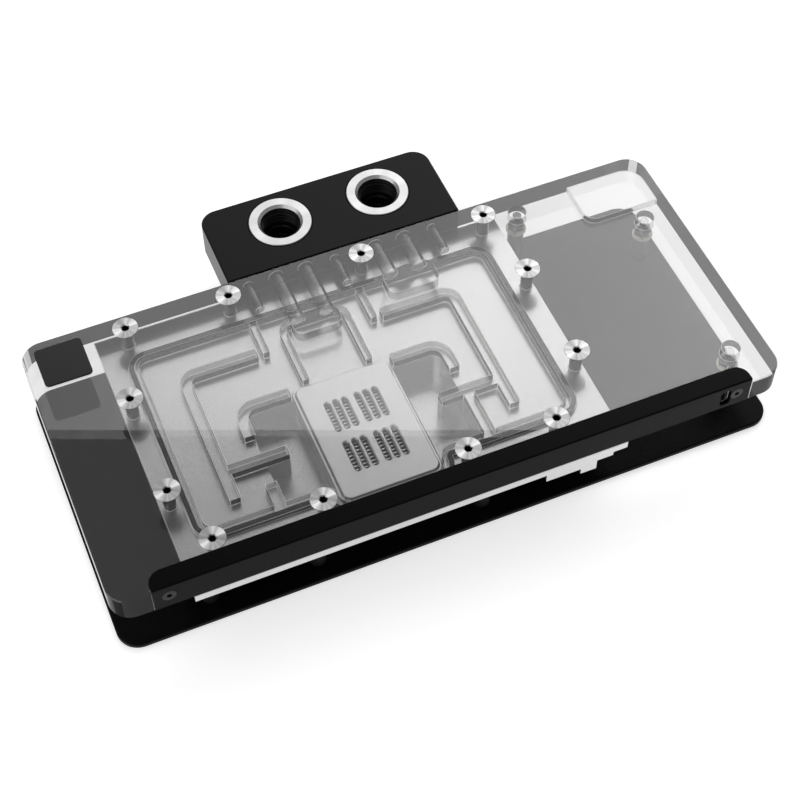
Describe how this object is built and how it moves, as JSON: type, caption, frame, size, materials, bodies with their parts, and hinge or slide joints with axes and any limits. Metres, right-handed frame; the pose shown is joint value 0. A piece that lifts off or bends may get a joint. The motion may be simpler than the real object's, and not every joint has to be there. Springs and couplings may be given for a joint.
{
  "type": "graphics card water block",
  "caption": "Liquid cooling block for a graphics card: finned cold plate under a clear milled cover, side terminal with threaded ports, and a backplate held on posts below.",
  "frame": {"origin": "middle of the footprint, on the underside of the backplate", "axes": "+X along the card away from the badge corner, +Y towards the port terminal, +Z out of the clear cover"},
  "size_m": [0.22, 0.133, 0.029],
  "materials": {
    "clear_acrylic": "clear, polished",
    "nickel": "nickel plated, satin bright",
    "nickel_sheet": "nickel plated, satin bright",
    "seal_rubber": "matte",
    "stainless_steel": "turned",
    "black_acetal": "satin",
    "ring_chrome": "polished",
    "black_steel": "black oxide",
    "black_anodised": "satin, anodised black",
    "board_white": "matte",
    "lamp_white": "gloss",
    "socket_plastic": "matte",
    "badge_black": "gloss",
    "spacer_plastic": "matte",
    "washer_plastic": "matte"
  },
  "bodies": {
    "root": {"clear_cover": "clear_acrylic", "cold_plate": "nickel", "jet_plate": "nickel_sheet", "main_seal": "seal_rubber", "inlet_face_seal": "seal_rubber", "outlet_face_seal": "seal_rubber", "cover_screws": "stainless_steel", "terminal": "black_acetal", "inlet_ring": "ring_chrome", "outlet_ring": "ring_chrome", "terminal_screws": "black_steel", "front_trim": "black_anodised", "trim_screws": "black_steel", "light_board": "board_white", "lamps": "lamp_white", "light_socket": "socket_plastic", "badge": "badge_black", "backplate": "black_anodised", "standoffs": "stainless_steel", "spacers": "spacer_plastic", "card_screws": "black_steel", "end_spacers": "spacer_plastic", "end_washers": "washer_plastic", "end_nuts": "stainless_steel", "end_screws": "stainless_steel"}
  },
  "joints": []
}
